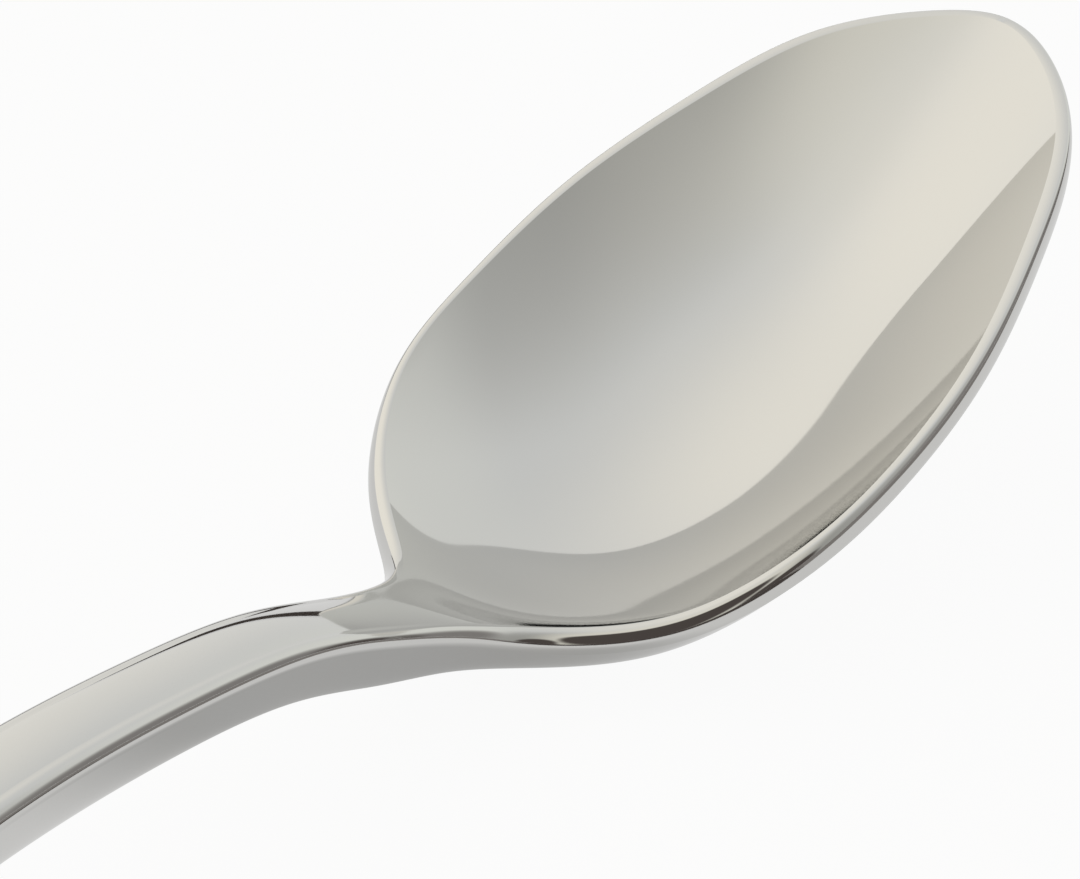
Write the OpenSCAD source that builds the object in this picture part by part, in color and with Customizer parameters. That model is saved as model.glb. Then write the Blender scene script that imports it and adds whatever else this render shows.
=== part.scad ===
// Teaspoon, forged and polished from one blank of stainless steel.
// The spoon lies on a table as it rests in use: the tip of the bowl points
// along +X, the spoon is symmetrical about the plane Y = 0, and Z = 0 is the
// table top. The underside of the bowl and the end of the handle touch it.
// The blank is described in four zones that meet face to face.

/* [Overall] */
// Length from the tip of the bowl to the end of the handle
overall_l = 140; // [125:1:160]
// Length of the bowl, from its tip to where the neck starts
bowl_l = 48; // [42:1:54]

/* [Bowl] */
// Width of the bowl at its widest place
bowl_w = 26.8; // [24:0.1:33]
// Depth of the hollow below the rim at its deepest place
bowl_d = 7.6; // [5:0.1:9]
// Thickness of the bowl's wall and rim, measured upright
bowl_t = 1.4; // [1:0.1:2]
// Width of the flat land round the rim at the tip
land_w = 0.6; // [0.3:0.05:0.9]
// Width of the rounding outside the land, seen from above
rim_w = 0.45; // [0.2:0.05:0.7]
// Height of the rim above the table at the tip
tip_h = 18.9; // [15:0.1:22]

/* [Neck] */
// Width of the handle at the narrowest part of the neck
neck_w = 4.55; // [3.6:0.05:6]
// Thickness of the neck and stem
neck_t = 4.3; // [3:0.1:4.8]
// Height of the edge above the table where the bowl runs into the neck
neck_h = 4.4; // [3.4:0.1:5.4]

/* [Handle] */
// Width of the rounded edges along the handle, seen from above
edge_w = 0.7; // [0.4:0.05:1]
// Height of the rounded edges along the handle
edge_h = 0.9; // [0.4:0.05:1.2]
// Width of the handle at its widest place, near the end
handle_w = 8.75; // [7:0.05:14]
// Thickness of the handle at its end
handle_t = 2.3; // [1.7:0.1:2.8]
// Height of the top of the arch above the table
arch_h = 14.05; // [10:0.05:18]
// How far the middle of the handle's top face stands above its edges
crown_h = 0.25; // [0.1:0.05:0.4]
// How deep the two worn resting spots are ground flat
flat_d = 0.05; // [0.02:0.01:0.08]

/* [Hidden] */

// Rings for each step of the side profile, and points across each face
RINGS_BOWL = 6;
RINGS_HANDLE = 5;
ACROSS = 16;
ROUND = 4;

// Each row of the next tables is one control place of a smooth curve that runs
// from the tip, along the edge, to the end of the handle. The first and last
// rows lie a little past the tip and the end, so that the curve meets the
// centre line square on.
// Place along the bowl, as shares of bowl_l, and then along the handle
bowl_x_shares = [-0.011, 0.022, 0.14, 0.30, 0.475, 0.65, 0.80, 0.92, 1.01];
handle_x_shares = [0.052, 0.112, 0.19, 0.29, 0.415, 0.56, 0.715, 0.85, 0.945, 0.994, 1.003];
// Half width, as shares of half the bowl's width at its widest control place
bowl_w_shares = [0, 0.281, 0.632, 0.806, 0.965, 0.978, 0.945, 0.712, 0.331];
// Half width on the handle, as shares of the way from neck_w to handle_w. The
// last row, on the centre line, has none.
handle_w_shares = [0.277, 0.03, 0.005, 0.005, 0.036, 0.116, 0.333, 0.748, 1.144, 0.649];
// Height of the bowl's edge, as shares of the way from neck_h to tip_h
bowl_h_shares = [1.013, 0.971, 0.915, 0.748, 0.563, 0.365, 0.249, 0.027, -0.024];
// Height of the handle's edge, as shares of the way from neck_h to arch_h
handle_h_shares = [0.161, 0.384, 0.704, 0.867, 1.013, 0.914, 0.626, 0.183, -0.221, -0.243, -0.2];
// Depth of the hollow, as shares of bowl_d, to where the neck takes over
bowl_d_shares = [-0.024, 0.046, 0.465, 0.922, 0.991, 1.018, 0.856, 0.29, 0.061];
// Rise of the handle's top face, as shares of crown_h
handle_d_shares = [0.2, 0.8, 1, 1, 1, 1, 1, 1, 0.9, 0.4, 0.3];
// How far the wall has grown from bowl_t to neck_t along the bowl
bowl_t_shares = [0, 0, 0, 0, 0.013, 0.054, 0.128, 0.261, 0.392];
// How far the handle has thinned from neck_t to handle_t
handle_t_shares = [0.472, 0.127, 0.127, 0.081, -0.134, -0.069, 0.301, 0.671, 0.906, 1.006, 1.006];
// How far the section has turned from a bowl into a bar, along the bowl
bowl_bar_shares = [0, 0, 0, 0, 0, 0, 0.03, 0.55, 0.58];
handle_bar_shares = [0.79, 1, 1, 1, 1, 1, 1, 1, 1, 1, 1];

// Width of the land along the rim and the handle's edges, as shares of land_w
land_shares = [1, 1, 1, 0.9, 0.65, 0.4, for (k = [7 : 20]) 0.3];

// The bowl's section follows a mix of a square and a fourth-power curve, and
// the bar's underside is flatter, with rounded lower corners
bowl_fourth_share = 0.11;
bar_square_share = 0.2;
BAR_POWER = 6;

// The widest control rows stand a little outside the curve they make
peak_w_share = 1.0295;

handle_l = overall_l - bowl_l;
half_w = bowl_w / 2 * peak_w_share;
LAST = len(bowl_x_shares) + len(handle_x_shares) - 1;

row_x = concat(
    [for (s = bowl_x_shares) bowl_l * s],
    [for (s = handle_x_shares) bowl_l + handle_l * s]);
row_w = concat(
    [for (s = bowl_w_shares) half_w * s],
    [for (s = handle_w_shares) neck_w / 2 + (handle_w - neck_w) / 2 * s],
    [0]);
row_h = concat(
    [for (s = bowl_h_shares) neck_h + (tip_h - neck_h) * s],
    [for (s = handle_h_shares) neck_h + (arch_h - neck_h) * s]);
row_d = concat(
    [for (s = bowl_d_shares) bowl_d * s],
    [for (s = handle_d_shares) -crown_h * s]);
row_t = concat(
    [for (s = bowl_t_shares) bowl_t + (neck_t - bowl_t) * s],
    [for (s = handle_t_shares) neck_t + (handle_t - neck_t) * s]);
row_bar = concat(bowl_bar_shares, handle_bar_shares);
row_land = [for (s = land_shares) land_w * s];

// Row i of a table, mirrored past the tip and the end. sign is -1 for the half
// width, which changes side there, and 1 for the rest.
function row(table, i, sign) =
    i < 0 ? sign * table[-i] : i > LAST ? sign * table[2 * LAST - i] : table[i];

// Uniform cubic B-spline through a table, at place s from 0 to LAST
function spline(table, s, sign = 1) =
    let (i = min(floor(s), LAST - 1), f = s - i)
    (row(table, i - 1, sign) * pow(1 - f, 3)
        + row(table, i, sign) * (3 * pow(f, 3) - 6 * f * f + 4)
        + row(table, i + 1, sign) * (3 * f + 3 * f * f - 3 * pow(f, 3) + 1)
        + row(table, i + 2, sign) * pow(f, 3)) / 6;

// Its rate of change
function spline_rate(table, s, sign = 1) =
    let (i = min(floor(s), LAST - 1), f = s - i)
    (-row(table, i - 1, sign) * pow(1 - f, 2)
        + row(table, i, sign) * (3 * f * f - 4 * f)
        + row(table, i + 1, sign) * (1 + 2 * f - 3 * f * f)
        + row(table, i + 2, sign) * f * f) / 2;

// Share of the depth that is left at v, where v is 0 on the centre line and 1
// at the edge
function hollow_left(v) =
    1 - (1 - bowl_fourth_share) * v * v - bowl_fourth_share * pow(v, 4);
function under_left(v, bar) =
    hollow_left(v) * (1 - bar)
    + (1 - bar_square_share * v * v - (1 - bar_square_share) * pow(v, BAR_POWER)) * bar;

// Heights before the spoon is set down, at a place s
function edge_z(s) = spline(row_h, s);
function side_t(s) = let (bar = spline(row_bar, s)) bowl_t * (1 - bar) + edge_h * bar;
function keel_z(s) = edge_z(s) - spline(row_d, s) - spline(row_t, s);

// The spoon is set down by a lean and a drop, worked out from the lowest line
// of the bowl's underside and the lowest line under the end of the handle
STEPS = 12;
BOWL_END = 9;
bowl_places = [for (k = [STEPS : STEPS * (BOWL_END + 1)]) k / STEPS];
end_places = [for (k = [STEPS * (LAST - 2) : STEPS * LAST - 1]) k / STEPS];
end_low = min([for (s = end_places) keel_z(s)]);
end_place = [for (s = end_places) if (keel_z(s) == end_low) s][0];
end_x = spline(row_x, end_place);
lean = min([for (s = bowl_places) (keel_z(s) - end_low) / (end_x - spline(row_x, s))]);
function set_down(x, z) = z - end_low - lean * (end_x - x) - flat_d;

// One ring of the spoon at place s: across the top from left to right, round
// the right edge, back across the underside, and round the left edge. The edge
// is a flat land and then a quarter of an ellipse down to the underside.
function ring(s) =
    let (
        x = spline(row_x, s),
        w = spline(row_w, s, -1),
        turn_x = spline_rate(row_w, s, -1),
        turn_y = -spline_rate(row_x, s),
        turn = sqrt(turn_x * turn_x + turn_y * turn_y),
        bar = spline(row_bar, s),
        round_w = rim_w * (1 - bar) + edge_w * bar,
        top_in = round_w + spline(row_land, s),
        in_x = turn_x / turn * round_w,
        in_y = turn_y / turn * round_w,
        top_x = turn_x / turn * top_in,
        top_y = turn_y / turn * top_in,
        h = edge_z(s),
        d = spline(row_d, s),
        t = spline(row_t, s),
        side = side_t(s),
        top = [for (k = [0 : ACROSS])
            let (v = sin(90 * (2 * k / ACROSS - 1)))
            [x + top_x, v * (w + top_y), h - d * hollow_left(v)]],
        right = [for (k = [0 : ROUND])
            let (a = 90 * (1 - k / ROUND))
            [x + in_x * (1 - cos(a)), w + in_y * (1 - cos(a)), h - side * (1 - sin(a))]],
        under = [for (k = [1 : ACROSS - 1])
            let (v = sin(90 * (1 - 2 * k / ACROSS)))
            [x, v * w, h - side - (d + t - side) * under_left(v, bar)]],
        left = [for (k = [0 : ROUND])
            let (p = right[ROUND - k])
            [p[0], -p[1], p[2]]])
    [for (p = concat(top, right, under, left))
        [overall_l / 2 - p[0], p[1], set_down(p[0], p[2])]];

RING = 2 * (ACROSS + ROUND + 1);

// A closed end on the ring whose first point has index first. It is a strip of
// triangles between the top face and the underside, with the edges folded in.
function end_faces(first, flip) =
    let (
        half = RING / 2,
        strip = [for (k = [0 : half - 2])
            for (f = [[k, k + 1, RING - 1 - k], [k + 1, RING - 2 - k, RING - 1 - k]])
                [for (i = f) first + (i + RING - ROUND - 1) % RING]])
    [for (f = strip) flip ? [f[2], f[1], f[0]] : f];

// A zone of the spoon between two places, lofted through its rings
module zone(from, to, rings) {
    count = round((to - from) * rings);
    places = [for (k = [0 : count]) from + (to - from) * k / count];
    points = [for (s = places) each ring(s)];
    walls = [for (k = [0 : count - 1]) for (j = [0 : RING - 1])
        let (
            a = k * RING + j,
            b = k * RING + (j + 1) % RING,
            c = b + RING,
            d = a + RING)
        each [[a, c, b], [a, d, c]]];
    faces = concat(walls, end_faces(0, false), end_faces(count * RING, true));
    polyhedron(points = points, faces = faces, convexity = 6);
}

// What lies below the table top is ground off, which leaves the resting spots
module ground_flat() {
    difference() {
        children();
        translate([-overall_l, -bowl_w, -bowl_d])
            cube([2 * overall_l, 2 * bowl_w, bowl_d]);
    }
}

TIP_GAP = 0.04;
NECK_START = 9;
STEM_START = 12;
END_START = 15;

module bowl() {
    color("silver") ground_flat() zone(TIP_GAP, NECK_START, RINGS_BOWL);
}

module neck() {
    color("lightgray") zone(NECK_START, STEM_START, RINGS_HANDLE);
}

module stem() {
    color("silver") zone(STEM_START, END_START, RINGS_HANDLE);
}

module handle_end() {
    color("lightgray") ground_flat() zone(END_START, LAST - TIP_GAP, RINGS_HANDLE);
}

bowl();
neck();
stem();
handle_end();
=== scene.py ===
# %% [markdown]
# A polished teaspoon
#
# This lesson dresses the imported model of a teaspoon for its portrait. A spoon is
# one piece of stainless steel with no joints, so there is little to assemble.
# All the work is in three things: a very smooth surface, because a mirror shows
# every ripple, a steel that isn't quite a perfect mirror, and something pale
# and soft around the spoon for it to reflect.
#
# Lengths are typed in millimetres and turned to metres by MM. The spoon lies
# along X with its tip at +X, and the table is Z = 0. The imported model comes
# first, and its box is kept, so that the finished spoon can be held against it.

import math

import bmesh
import bpy
from mathutils import Matrix, Vector


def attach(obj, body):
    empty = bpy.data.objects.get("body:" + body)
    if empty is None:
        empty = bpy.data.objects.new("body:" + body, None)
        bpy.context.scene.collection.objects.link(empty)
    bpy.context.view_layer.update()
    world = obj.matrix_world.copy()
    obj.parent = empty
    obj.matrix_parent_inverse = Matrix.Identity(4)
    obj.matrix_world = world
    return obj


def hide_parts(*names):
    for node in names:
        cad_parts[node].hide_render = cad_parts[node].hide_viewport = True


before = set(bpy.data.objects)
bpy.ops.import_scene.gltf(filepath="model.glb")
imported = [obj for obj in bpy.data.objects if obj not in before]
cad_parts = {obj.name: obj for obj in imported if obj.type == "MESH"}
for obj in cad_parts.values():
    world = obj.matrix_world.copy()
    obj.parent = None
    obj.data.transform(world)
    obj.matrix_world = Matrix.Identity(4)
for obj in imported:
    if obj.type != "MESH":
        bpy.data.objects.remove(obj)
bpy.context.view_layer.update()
MM = 0.001
BODY = "root"

# %% [markdown]
# Two small helpers. The first turns an sRGB hex colour, as a paint program shows
# it, into the linear numbers that shaders add and multiply. The second adds one
# node to a tree, sets it up and connects or fills its sockets. Every material
# and the Geometry Nodes tree below are made with it. Each node could be written
# out by hand, but then the settings would hide the idea.

# %% Helpers for colours and nodes


def linear(hex_colour):
    """An sRGB hex colour as linear red, green, blue and alpha."""
    parts = [int(hex_colour[i : i + 2], 16) / 255 for i in (1, 3, 5)]
    return [
        c / 12.92 if c <= 0.04045 else ((c + 0.055) / 1.055) ** 2.4 for c in parts
    ] + [1.0]


def add(tree, kind, settings=None, **inputs):
    """Adds a node. An input's name is the socket's, or i0, i1 for a place."""
    node = tree.nodes.new(kind)
    for name, value in (settings or {}).items():
        setattr(node, name, value)
    for name, value in inputs.items():
        key = int(name[1:]) if name[0] == "i" and name[1:].isdigit() else name
        socket = node.inputs[key.replace("_", " ") if isinstance(key, str) else key]
        if isinstance(value, bpy.types.NodeSocket):
            tree.links.new(value, socket)
        else:
            socket.default_value = value
    return node


print("middle grey is", round(linear("#808080")[0], 3), "in linear light")

# %% [markdown]
# The camera
#
# The camera comes before the spoon, because everything is judged through it. It
# looks down along the spoon from behind the handle and from its right side, so
# the near end of the handle leaves the frame. Its place was found by fitting
# the outline of the spoon to the photograph's edges. A constraint could aim it
# at the bowl, but a fitted camera needs its roll too, so it is given as where
# the lens is, which way it turns, how far it tips up and how far it rolls.

# %% Camera
CAMERA_PLACE = Vector((-158.78, -106.77, 141.88)) * MM
CAMERA_TURN, CAMERA_TIP, CAMERA_ROLL = -59.977, 58.556, 7.906
LENS, SENSOR = 171.59, 36.0
NEAREST, FARTHEST = 10 * MM, 10

camera_data = bpy.data.cameras.new("camera")
camera_data.lens = LENS
camera_data.sensor_width = SENSOR
camera_data.clip_start = NEAREST
camera_data.clip_end = FARTHEST
camera = bpy.data.objects.new("camera", camera_data)
bpy.context.collection.objects.link(camera)
camera.matrix_world = (
    Matrix.Translation(CAMERA_PLACE)
    @ Matrix.Rotation(math.radians(CAMERA_TURN), 4, "Z")
    @ Matrix.Rotation(math.radians(CAMERA_TIP), 4, "X")
    @ Matrix.Rotation(math.radians(CAMERA_ROLL), 4, "Z")
)
bpy.context.scene.camera = camera
print("camera", [round(c / MM, 1) for c in CAMERA_PLACE], "mm")

# %% [markdown]
# The edge of the spoon
#
# A forged spoon has no flat faces to measure. What a maker draws is its edge:
# one line that leaves the tip, runs round the rim, turns through the neck and
# follows the handle to its end. Beside it stand a few numbers for the section
# that hangs from the edge: how deep the hollow is, how thick the steel is, and
# how far the section has turned from a bowl into a bar.
#
# A subdivision surface pulled by hand would give a spoon too, but no one could
# say how wide its neck is. Here each row of the tables is a control place, as
# a share of a named size, and a cubic B-spline rounds the rows off. A spline of
# this kind has no sudden change of curvature, so reflections flow over it
# unbroken.

# %% Control rows of the edge, in millimetres
OVERALL_L, BOWL_L, BOWL_W, BOWL_D = 140, 48, 26.8, 7.6
BOWL_T, NECK_T, HANDLE_T = 1.4, 4.3, 2.3
NECK_W, HANDLE_W = 4.55, 8.75
TIP_H, NECK_H, ARCH_H, CROWN_H = 18.9, 4.4, 14.05, 0.25
RIM_W, EDGE_W, EDGE_H, LAND_W, FLAT_D = 0.45, 0.7, 0.9, 0.6, 0.05
OVERSHOOT = 1.0295  # a B-spline stays inside its rows, so they lie further out
HALF_W = BOWL_W / 2 * OVERSHOOT


def rows(bowl, handle, bowl_from, bowl_to, handle_from, handle_to):
    """Two tables of shares as one table of lengths, bowl first."""
    return [bowl_from + (bowl_to - bowl_from) * s for s in bowl] + [
        handle_from + (handle_to - handle_from) * s for s in handle
    ]


row_x = rows(
    (-0.011, 0.022, 0.14, 0.30, 0.475, 0.65, 0.80, 0.92, 1.01),
    (0.052, 0.112, 0.19, 0.29, 0.415, 0.56, 0.715, 0.85, 0.945, 0.994, 1.003),
    0, BOWL_L, BOWL_L, OVERALL_L,
)
row_w = rows(
    (0, 0.281, 0.632, 0.806, 0.965, 0.978, 0.945, 0.712, 0.331),
    (0.277, 0.03, 0.005, 0.005, 0.036, 0.116, 0.333, 0.748, 1.144, 0.649),
    0, HALF_W, NECK_W / 2, HANDLE_W / 2,
) + [0]
row_h = rows(
    (1.013, 0.971, 0.915, 0.748, 0.563, 0.365, 0.249, 0.027, -0.024),
    (0.161, 0.384, 0.704, 0.867, 1.013, 0.914, 0.626, 0.183, -0.221, -0.243, -0.2),
    NECK_H, TIP_H, NECK_H, ARCH_H,
)
row_d = rows(
    (-0.024, 0.046, 0.465, 0.922, 0.991, 1.018, 0.856, 0.29, 0.061),
    (0.2, 0.8, 1, 1, 1, 1, 1, 1, 0.9, 0.4, 0.3),
    0, BOWL_D, 0, -CROWN_H,
)
row_t = rows(
    (0, 0, 0, 0, 0.013, 0.054, 0.128, 0.261, 0.392),
    (0.472, 0.127, 0.127, 0.081, -0.134, -0.069, 0.301, 0.671, 0.906, 1.006, 1.006),
    BOWL_T, NECK_T, NECK_T, HANDLE_T,
)
row_bar = [0, 0, 0, 0, 0, 0, 0.03, 0.55, 0.58, 0.79] + [1] * 10
row_land = [
    LAND_W * share
    for share in (1, 1, 1, 0.9, 0.65, 0.4) + (0.3,) * 14
]
LAST = len(row_x) - 1
print(LAST + 1, "control places,", len(row_w), "widths")

# %% [markdown]
# The spline, and setting the spoon down
#
# The rows are drawn level, as on a maker's sheet. A spoon on a table rests on
# two spots: one under the bowl and one under the end of the handle. Physics
# could settle it, but two lowest points and one straight lean are quicker and
# come out the same each time.

# %% B-spline through a table of rows


def blend(table, place, sign=1, rate=False):
    """The smooth value of a table at a place, or its rate of change. Past both
    ends the table is mirrored, with the other sign where sign is -1."""
    i = min(int(place), LAST - 1)
    f = place - i
    four = []
    for k in range(i - 1, i + 3):
        inside = -k if k < 0 else 2 * LAST - k if k > LAST else k
        four.append(table[inside] * (1 if k == inside else sign))
    if rate:
        shares = (-((1 - f) ** 2), 3 * f * f - 4 * f, 1 + 2 * f - 3 * f * f, f * f)
        return sum(a * b for a, b in zip(shares, four)) / 2
    shares = (
        (1 - f) ** 3,
        3 * f**3 - 6 * f * f + 4,
        1 + 3 * f + 3 * f * f - 3 * f**3,
        f**3,
    )
    return sum(a * b for a, b in zip(shares, four)) / 6


def keel(place):
    """Height of the lowest line of the spoon before it is set down."""
    return blend(row_h, place) - blend(row_d, place) - blend(row_t, place)


STEPS, BOWL_FROM, BOWL_TO = 12, 1, 10
bowl_places = [k / STEPS for k in range(BOWL_FROM * STEPS, BOWL_TO * STEPS + 1)]
end_places = [k / STEPS for k in range(STEPS * (LAST - 2), STEPS * LAST)]
end_low = min(keel(p) for p in end_places)
end_x = blend(row_x, next(p for p in end_places if keel(p) == end_low))
lean = min((keel(p) - end_low) / (end_x - blend(row_x, p)) for p in bowl_places)
print("lean", round(lean, 4), "mm per mm")

# %% [markdown]
# Stations and section
#
# The edge line is sampled at a few hundred stations. Each station is a vertex
# of a small mesh and carries four vectors as attributes: where the edge is,
# which way is inwards, how deep and thick the section is, and how wide its flat
# rim is. The section itself is another small mesh: half a ring of points, from
# the middle of the top face, over the rim and back under to the middle of the
# underside. Its points carry plain shares, so one section serves bowl, neck and
# handle. Twenty drawn sections would do as well, but each would have to be
# changed by hand with every new size.

# %% Stations along the edge
STATIONS = 480
station_rows = []
for n in range(STATIONS):
    s = LAST * n / (STATIONS - 1)
    x, w, h = blend(row_x, s), blend(row_w, s, -1), blend(row_h, s)
    turn = Vector((blend(row_w, s, -1, True), -blend(row_x, s, 1, True)))
    d, t, bar = blend(row_d, s), blend(row_t, s), blend(row_bar, s)
    inward = turn.normalized() * (RIM_W * (1 - bar) + EDGE_W * bar)
    land = turn.normalized() * blend(row_land, s)
    side = BOWL_T * (1 - bar) + EDGE_H * bar
    drop = -end_low - lean * (end_x - x) - FLAT_D
    edge = (OVERALL_L / 2 - x, w, h + drop)
    station_rows.append(
        (
            edge,
            (-inward.x, inward.y, bar),
            (d, side, d + t - side),
            (-land.x, land.y, 0),
        )
    )
print(STATIONS, "stations")

# %% Half a section
TOP_STEPS, RIM_STEPS, UNDER_STEPS = 40, 12, 36
FOURTH, BAR_SQUARE, BAR_POWER = 0.11, 0.2, 6


def hollow_left(v):
    """Share of the depth that is left at v, from 0 in the middle to 1."""
    return 1 - (1 - FOURTH) * v**2 - FOURTH * v**4


section_rows = []
for k in range(TOP_STEPS + 1):
    v = math.sin(math.pi / 2 * k / TOP_STEPS)
    section_rows.append(((1, v, v), (hollow_left(v), 0, 0), (0, 0, 0), (1, v, 0)))
for k in range(RIM_STEPS + 1):
    a = math.pi / 2 * (1 - k / RIM_STEPS)
    inset = 1 - math.cos(a)
    section_rows.append(
        ((inset, 1, inset), (0, 1 - math.sin(a), 0), (0, 0, 0), (0, 0, 0))
    )
for k in range(1, UNDER_STEPS + 1):
    v = math.sin(math.pi / 2 * (1 - k / UNDER_STEPS))
    as_bar = 1 - BAR_SQUARE * v**2 - (1 - BAR_SQUARE) * v**BAR_POWER
    section_rows.append(
        ((0, v, 0), (0, 1, 0), (hollow_left(v), as_bar, 0), (0, 0, 0))
    )
PLACES = len(section_rows)
print(PLACES, "places on half a section")

# %% Both tables as small meshes


def table_mesh(name, table, columns):
    """A mesh with a vertex for each row and a vector attribute per column."""
    mesh = bpy.data.meshes.new(name)
    mesh.from_pydata([(0, 0, 0)] * len(table), [], [])
    for c, column in enumerate(columns):
        layer = mesh.attributes.new(column, "FLOAT_VECTOR", "POINT")
        layer.data.foreach_set("vector", [x for row in table for x in row[c]])
    thing = bpy.data.objects.new(name, mesh)
    bpy.context.collection.objects.link(thing)
    return thing


spoon = table_mesh("teaspoon_steel", station_rows, ("edge", "inward", "drop", "land"))
section = table_mesh("section_table", section_rows, ("reach", "fall", "under", "shelf"))
print("tables", len(spoon.data.vertices), "and", len(section.data.vertices), "rows")

# %% [markdown]
# The skin as a Geometry Nodes tree
#
# Polished steel shows every facet edge and every seam, so the spoon is one
# skin. It could be lofted from curves, but a loft sets its own rows. The tree
# makes a flat grid instead, with one row for each station and one column for
# each place on the section. Every grid point looks up its station and its
# place, and moves to where the section puts it. That gives one side of the
# spoon. A mirrored copy gives the other side, and merging closes the seam.

# %% The tree and its inputs
WELD = 0.002 * MM
skin = bpy.data.node_groups.new("spoon_skin", "GeometryNodeTree")
skin.is_modifier = True
sockets = {}
for name, kind, value in (
    ("Tables", "NodeSocketGeometry", None),
    ("Section", "NodeSocketObject", section),
    ("Stations", "NodeSocketInt", STATIONS),
    ("Places", "NodeSocketInt", PLACES),
    ("Millimetre", "NodeSocketFloat", MM),
    ("Weld distance", "NodeSocketFloat", WELD),
    ("Steel", "NodeSocketMaterial", None),
):
    sockets[name] = skin.interface.new_socket(name, in_out="INPUT", socket_type=kind)
skin.interface.new_socket("Skin", in_out="OUTPUT", socket_type="NodeSocketGeometry")
given = add(skin, "NodeGroupInput").outputs
print(len(sockets), "inputs")

# %% Which station and which place a grid point stands for
grid = add(
    skin, "GeometryNodeMeshGrid",
    Vertices_X=given["Stations"], Vertices_Y=given["Places"],
)
index = add(skin, "GeometryNodeInputIndex").outputs[0]
MATH, VECTOR = "ShaderNodeMath", "ShaderNodeVectorMath"
ratio = add(skin, MATH, {"operation": "DIVIDE"}, i0=index, i1=given["Places"])
station = add(skin, MATH, {"operation": "FLOOR"}, i0=ratio.outputs[0])
place = add(skin, MATH, {"operation": "MODULO"}, i0=index, i1=given["Places"])
section_info = add(skin, "GeometryNodeObjectInfo", Object=given["Section"])

looked_up = {}
for table, at, names in (
    (given["Tables"], station, ("edge", "inward", "drop", "land")),
    (section_info.outputs["Geometry"], place, ("reach", "fall", "under", "shelf")),
):
    for name in names:
        column = add(
            skin, "GeometryNodeInputNamedAttribute",
            {"data_type": "FLOAT_VECTOR"}, Name=name,
        )
        found = add(
            skin, "GeometryNodeSampleIndex",
            {"data_type": "FLOAT_VECTOR", "domain": "POINT"},
            Geometry=table, Value=column.outputs[0], Index=at.outputs[0],
        )
        parts = add(skin, "ShaderNodeSeparateXYZ", Vector=found.outputs[0])
        looked_up[name] = list(parts.outputs)
edge, inward, drop, land = (looked_up[n] for n in ("edge", "inward", "drop", "land"))
reach, fall, under, shelf = (looked_up[n] for n in ("reach", "fall", "under", "shelf"))
print(len(skin.nodes), "nodes so far")

# %% Where the point goes
MULTIPLY_ADD = {"operation": "MULTIPLY_ADD"}
along_rim = add(skin, MATH, MULTIPLY_ADD, i0=inward[0], i1=reach[0], i2=edge[0])
along = add(skin, MATH, MULTIPLY_ADD, i0=land[0], i1=shelf[0], i2=along_rim.outputs[0])
width = add(skin, MATH, {"operation": "MULTIPLY"}, i0=edge[1], i1=reach[1])
across_rim = add(
    skin, MATH, MULTIPLY_ADD, i0=inward[1], i1=reach[2], i2=width.outputs[0]
)
across = add(
    skin, MATH, MULTIPLY_ADD, i0=land[1], i1=shelf[1], i2=across_rim.outputs[0]
)
hollow = add(skin, MATH, {"operation": "MULTIPLY"}, i0=drop[0], i1=fall[0])
to_side = add(skin, MATH, MULTIPLY_ADD, i0=drop[1], i1=fall[1], i2=hollow.outputs[0])
turned = add(skin, MATH, {"operation": "SUBTRACT"}, i0=under[1], i1=under[0])
belly = add(
    skin, MATH, MULTIPLY_ADD, i0=inward[2], i1=turned.outputs[0], i2=under[0]
)
down = add(
    skin, MATH, MULTIPLY_ADD, i0=drop[2], i1=belly.outputs[0], i2=to_side.outputs[0]
)
above = add(skin, MATH, {"operation": "SUBTRACT"}, i0=edge[2], i1=down.outputs[0])
on_table = add(skin, MATH, {"operation": "MAXIMUM"}, i0=above.outputs[0], i1=0.0)
corner = add(
    skin, "ShaderNodeCombineXYZ",
    X=along.outputs[0], Y=across.outputs[0], Z=on_table.outputs[0],
)
in_metres = add(
    skin, VECTOR, {"operation": "SCALE"},
    Vector=corner.outputs[0], Scale=given["Millimetre"],
)
half = add(
    skin, "GeometryNodeSetPosition",
    Geometry=grid.outputs["Mesh"], Position=in_metres.outputs[0],
)
print("half of the skin is placed")

# %% Mirror, weld and finish
other_half = add(
    skin, "GeometryNodeTransform",
    Geometry=half.outputs[0], Scale=(1, -1, 1),
)
both = add(skin, "GeometryNodeJoinGeometry")
for part in (half, other_half):
    skin.links.new(part.outputs[0], both.inputs[0])
welded = add(
    skin, "GeometryNodeMergeByDistance",
    Geometry=both.outputs[0], Distance=given["Weld distance"],
)
smooth = add(skin, "GeometryNodeSetShadeSmooth", Geometry=welded.outputs[0])
real = add(skin, "GeometryNodeRealizeInstances", Geometry=smooth.outputs[0])
steel_on = add(
    skin, "GeometryNodeSetMaterial",
    Geometry=real.outputs[0], Material=given["Steel"],
)
add(skin, "NodeGroupOutput", i0=steel_on.outputs[0])
print(len(skin.nodes), "nodes in the tree")

# %% [markdown]
# Polished stainless steel
#
# Teaspoons of this kind are mostly 18/10 stainless steel, stamped, forged and
# then polished on felt wheels. That leaves the eye a mirror that is slightly
# warm, with very fine lines along the spoon and a trace of haze. The colour is
# the metal's own reflectance, so it is a grey lighter than the eye expects. A
# glossy white plastic would mirror too, but only metal tints what it mirrors
# and stays dark where its surroundings are dark. The buffing lines are a
# quarter of a millimetre apart, coarser than real ones, so that they can show.

# %% Material: mirror-polished stainless steel
STEEL, STEEL_WARM = "#D7D7D6", "#D8D7D4"
HAZE_GRAIN, LINE_GRAIN, LINE_STRETCH = 14, 0.25, 0.02
SMOOTHEST, ROUGHEST = 0.035, 0.06
LINE_DEPTH, LINE_STRENGTH = 0.01 * MM, 0.02
steel = bpy.data.materials.new("mirror_polished_stainless_steel")
steel.use_nodes = True
tree = steel.node_tree
tree.nodes.clear()
where = add(tree, "ShaderNodeTexCoord").outputs["Object"]


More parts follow.
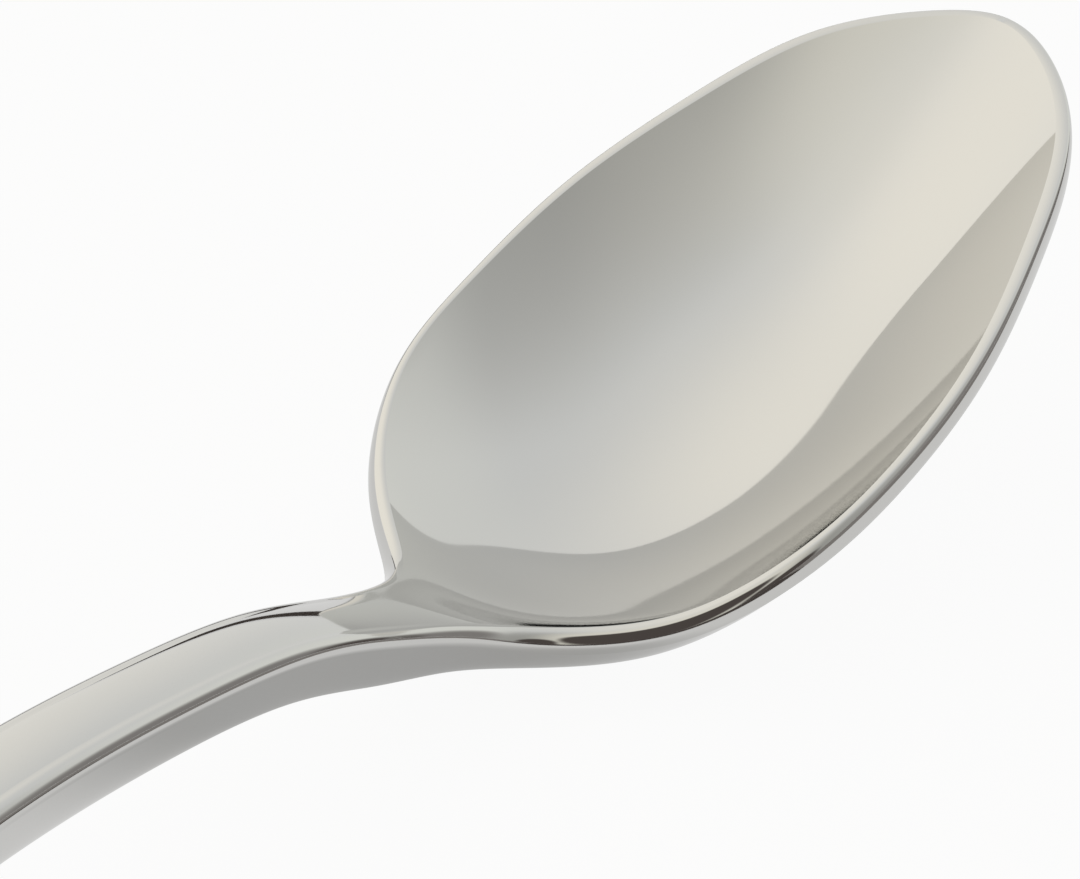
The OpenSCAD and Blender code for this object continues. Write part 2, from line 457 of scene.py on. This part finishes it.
def noise_over(scale_mm, stretch, detail):
    """Noise with grains of a size in millimetres, drawn out by a stretch."""
    laid = add(tree, "ShaderNodeMapping", Vector=where, Scale=stretch)
    return add(
        tree, "ShaderNodeTexNoise",
        Vector=laid.outputs[0], Scale=1 / (scale_mm * MM), Detail=detail,
    ).outputs["Fac"]


haze = noise_over(HAZE_GRAIN, (1, 1, 1), 2)
buffing = noise_over(LINE_GRAIN, (LINE_STRETCH, 1, 1), 2)
tint = add(
    tree, "ShaderNodeMix", {"data_type": "RGBA"},
    i0=haze, i6=linear(STEEL), i7=linear(STEEL_WARM),
)
rough = add(
    tree, "ShaderNodeMapRange",
    Value=haze, From_Min=0.3, From_Max=0.7, To_Min=SMOOTHEST, To_Max=ROUGHEST,
)
fine = add(
    tree, "ShaderNodeBump",
    Strength=LINE_STRENGTH, Distance=LINE_DEPTH, Height=buffing,
)
shader = add(
    tree, "ShaderNodeBsdfPrincipled",
    Base_Color=tint.outputs[2], Metallic=1.0,
    Roughness=rough.outputs[0], Normal=fine.outputs[0],
)
add(tree, "ShaderNodeOutputMaterial", Surface=shader.outputs[0])
print("material", steel.name, len(tree.nodes), "nodes")

# %% [markdown]
# From the tree to a plain mesh
#
# The modifier could stay live, but tools that read the file want plain meshes.
# So the tree is run once and its result kept. The two poles, at the tip and at
# the handle's end, leave faces without area. They are dissolved, and then all
# faces are turned outwards, because the mirrored half came out inside out.

# %% Run the tree and keep the result as a plain mesh
NO_LENGTH = 0.0005 * MM
modifier = spoon.modifiers.new("skin", "NODES")
modifier.node_group = skin
for name, value in (
    ("Section", section), ("Stations", STATIONS), ("Places", PLACES),
    ("Millimetre", MM), ("Weld distance", WELD), ("Steel", steel),
):
    modifier[sockets[name].identifier] = value
evaluated = spoon.evaluated_get(bpy.context.evaluated_depsgraph_get())
skin_mesh = bpy.data.meshes.new_from_object(evaluated)
spoon.modifiers.clear()
spoon.data = skin_mesh
bpy.data.objects.remove(section)

checked = bmesh.new()
checked.from_mesh(skin_mesh)
bmesh.ops.dissolve_degenerate(checked, dist=NO_LENGTH, edges=checked.edges)
bmesh.ops.recalc_face_normals(checked, faces=checked.faces)
odd_edges = sum(not e.is_manifold for e in checked.edges)
volume = checked.calc_volume(signed=True) / MM**3
triangles = sum(len(f.verts) - 2 for f in checked.faces)
checked.to_mesh(skin_mesh)
checked.free()
skin_mesh.materials.clear()
skin_mesh.materials.append(steel)
print(triangles, "triangles,", odd_edges, "edge without just two faces")
print("volume", round(volume), "mm3")

# %% [markdown]
# The finished spoon stands for all four CAD zones, because the real one is one
# piece and a seam would show in a mirror. It rides on the model's only body.

# %% Tie the spoon to the frame
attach(spoon, BODY)
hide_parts("bowl", "neck", "stem", "handle_end")
print("spoon", [[round(c / MM, 2) for c in corner] for corner in spoon.bound_box][::6])

# %% [markdown]
# The table and the light tent
#
# Shiny cutlery is photographed inside a tent of white cloth: what the camera
# sees in the metal is the tent. Lamps in the open would show as hard spots.
#
# The table is a white board. To the camera it glows almost white and keeps a
# trace of the spoon's shadow. In the metal it glows a light grey, with a spot of
# painted shade close under the neck that stands in for the spoon's own shade.
# Light Path tells the two kinds of ray apart, so the board lights the spoon no
# more than card would.

# %% Table
TABLE_REACH = 900
TABLE_CARD, TABLE_GLOW = "#D4D4D4", "#FFFFFF"
TABLE_CORNERS = 96
CAMERA_SHARE, MIRROR_SHARE = 0.94, 0.85
# The spot is painted shade: near it, the board's glow seen in the steel falls from the
# open level to a darker one, in place of the spoon's own shade.
PAINTED_SHADE_SPOT, PAINTED_SHADE_FROM, PAINTED_SHADE_TO = Vector((13, -7, 0)) * MM, 7 * MM, 20 * MM
PAINTED_SHADE_LEVEL, OPEN_LEVEL = 0.48, 0.8
white = bpy.data.materials.new("white_card")
white.use_nodes = True
tree = white.node_tree
tree.nodes.clear()
seen = add(tree, "ShaderNodeLightPath").outputs
in_mirror = add(
    tree, MATH, {"operation": "MAXIMUM"},
    i0=seen["Is Glossy Ray"], i1=seen["Is Transmission Ray"],
)
on_card = add(tree, "ShaderNodeTexCoord").outputs["Object"]
away = add(tree, VECTOR, {"operation": "DISTANCE"}, i0=on_card, i1=PAINTED_SHADE_SPOT)
# Painted shade: the glow seen in the steel darkens smoothly towards the spot.
painted_shade_in_steel = add(
    tree, "ShaderNodeMapRange", {"interpolation_type": "SMOOTHSTEP"},
    Value=away.outputs["Value"], From_Min=PAINTED_SHADE_FROM, From_Max=PAINTED_SHADE_TO,
    To_Min=PAINTED_SHADE_LEVEL, To_Max=OPEN_LEVEL,
)
level = add(
    tree, MATH, MULTIPLY_ADD,
    i0=in_mirror.outputs[0], i1=painted_shade_in_steel.outputs[0], i2=seen["Is Camera Ray"],
)
mirrored = add(
    tree, MATH, {"operation": "MULTIPLY"}, i0=in_mirror.outputs[0], i1=MIRROR_SHARE
)
share = add(
    tree, MATH, MULTIPLY_ADD,
    i0=seen["Is Camera Ray"], i1=CAMERA_SHARE, i2=mirrored.outputs[0],
)
card = add(tree, "ShaderNodeBsdfDiffuse", Color=linear(TABLE_CARD))
glow = add(
    tree, "ShaderNodeEmission", Color=linear(TABLE_GLOW), Strength=level.outputs[0]
)
mixed = add(
    tree, "ShaderNodeMixShader",
    i0=share.outputs[0], i1=card.outputs[0], i2=glow.outputs[0],
)
add(tree, "ShaderNodeOutputMaterial", Surface=mixed.outputs[0])

table_form = bmesh.new()
bmesh.ops.create_circle(
    table_form, cap_ends=True, segments=TABLE_CORNERS, radius=TABLE_REACH * MM
)
table_mesh_data = bpy.data.meshes.new("table")
table_form.to_mesh(table_mesh_data)
table_form.free()
table = bpy.data.objects.new("table", table_mesh_data)
bpy.context.collection.objects.link(table)
table_mesh_data.materials.append(white)
print("table", 2 * TABLE_REACH, "mm across")

# %% [markdown]
# Dark places on the table
#
# A real spoon is never in an empty white world. Its rounded rim squeezes the
# whole room into a line, and in the photograph that line is dark. Flags of dark
# card do this in a studio. Here three flat sheets lie on the table, away from
# the spoon. They show only in the steel: they hide from the camera, cast no
# shadow and take no light away. Each row gives a name, a colour and the
# corners on the table in millimetres.
# The sheets glow with their own dark colours at a fixed level and are not lit, so their
# darkness in the steel is painted.

# %% Dark sheets seen only in the steel
SHEET_H = 0.2
DARK_PLACES = (
    ("far gap", "#3F3936", ((80, 18), (230, 52), (120, 205), (45, 70))),
    ("near floor", "#4F4946", ((-30, -48), (40, -45), (0, -700), (-600, -450))),
    ("near floor beside it", "#8A8683", ((40, -45), (78, -44), (600, -90), (0, -700))),
)
for name, colour, corners in DARK_PLACES:
    dark_sheet_glow = bpy.data.materials.new(name.replace(" ", "_"))
    dark_sheet_glow.use_nodes = True
    tree = dark_sheet_glow.node_tree
    tree.nodes.clear()
    # Painted darkness: an emission of the sheet's dark colour, not a lit card.
    gloom = add(tree, "ShaderNodeEmission", Color=linear(colour), Strength=1.0)
    add(tree, "ShaderNodeOutputMaterial", Surface=gloom.outputs[0])
    sheet_mesh = bpy.data.meshes.new(dark_sheet_glow.name)
    sheet_mesh.from_pydata(
        [(x * MM, y * MM, SHEET_H * MM) for x, y in corners],
        [],
        [list(range(len(corners)))],
    )
    sheet_mesh.materials.append(dark_sheet_glow)
    sheet = bpy.data.objects.new(dark_sheet_glow.name, sheet_mesh)
    bpy.context.collection.objects.link(sheet)
    sheet.visible_camera = False
    sheet.visible_diffuse = False
    sheet.visible_shadow = False
print(len(DARK_PLACES), "dark places")

# %% [markdown]
# The light tent
#
# The tent is a sphere of pale cloth that glows. The camera doesn't see it, so it
# shows in the metal and lights the table.
# A real one is lit from one side, has seams, and has a hole for the lens, and
# all of that lies in the spoon's hollow as soft bands. An environment picture
# could do this, but a handful of round patches with soft edges can be moved
# one at a time. Each row gives a name, the compass angle and the height of the
# patch, where it is whole and where it has faded out, all in degrees, and its
# colour. Later rows lie over earlier ones.

# %% Light tent
TENT_REACH = 800
TENT_AROUND, TENT_UP = 96, 48
TENT_CLOTH, TENT_GLOW = "#D6D7D6", 1.15
PATCHES = (
    ("lit side", 113, 20, 7, 101, "#FBF7ED"),
    ("shaded side", -93, 0, 2, 81, "#A1A19D"),
    ("cream sheet behind the lens", -146, 27, 1, 70, "#EAE7DC"),
    ("pale sheet past the tip", -18, 4, 3, 44, "#E0E1DC"),
    ("grey gap past the handle", -38, 2, 8, 26, "#858280"),
    ("dark room below the lens", -132, 22, 23, 31, "#4F4946"),
    ("dark room beside it", -90, 2, 12, 18, "#4F4946"),
    ("dark room past the tip", -19, -7, 10, 16, "#4F4946"),
)

cloth = bpy.data.materials.new("tent_cloth")
cloth.use_nodes = True
tree = cloth.node_tree
tree.nodes.clear()
spot = add(tree, "ShaderNodeTexCoord").outputs["Object"]
way = add(tree, VECTOR, {"operation": "NORMALIZE"}, i0=spot).outputs[0]
paint = linear(TENT_CLOTH)
for name, azimuth, height, hard, soft, colour in PATCHES:
    a, e = math.radians(azimuth), math.radians(height)
    middle = (math.cos(e) * math.cos(a), math.cos(e) * math.sin(a), math.sin(e))
    near = add(tree, VECTOR, {"operation": "DOT_PRODUCT"}, i0=way, i1=middle)
    part = add(
        tree, "ShaderNodeMapRange", {"interpolation_type": "SMOOTHSTEP"},
        Value=near.outputs["Value"],
        From_Min=math.cos(math.radians(soft)), From_Max=math.cos(math.radians(hard)),
    )
    paint = add(
        tree, "ShaderNodeMix", {"data_type": "RGBA"},
        i0=part.outputs[0], i6=paint, i7=linear(colour),
    ).outputs[2]
lit = add(tree, "ShaderNodeEmission", Color=paint, Strength=TENT_GLOW)
add(tree, "ShaderNodeOutputMaterial", Surface=lit.outputs[0])

tent_form = bmesh.new()
bmesh.ops.create_uvsphere(
    tent_form, u_segments=TENT_AROUND, v_segments=TENT_UP, radius=TENT_REACH * MM
)
tent_mesh = bpy.data.meshes.new("light_tent")
tent_form.to_mesh(tent_mesh)
tent_form.free()
tent = bpy.data.objects.new("light_tent", tent_mesh)
bpy.context.collection.objects.link(tent)
tent_mesh.materials.append(cloth)
tent.visible_camera = False
tent.visible_shadow = False
print("tent", TENT_REACH, "mm,", len(PATCHES), "patches")

# %% [markdown]
# The world
#
# Past the edge of the table the camera sees the world. A plain white one at a
# strength of 1 carries on where the table ends. The Standard view transform
# leaves colours as they are written.

# %% World behind the tent, which the camera sees as white
world = bpy.data.worlds.new("studio")
bpy.context.scene.world = world
world.use_nodes = True
tree = world.node_tree
tree.nodes.clear()
sky = add(tree, "ShaderNodeBackground", Color=linear("#FFFFFF"), Strength=1.0)
add(tree, "ShaderNodeOutputWorld", Surface=sky.outputs[0])
bpy.context.scene.view_settings.view_transform = "Standard"
print("world", world.name)
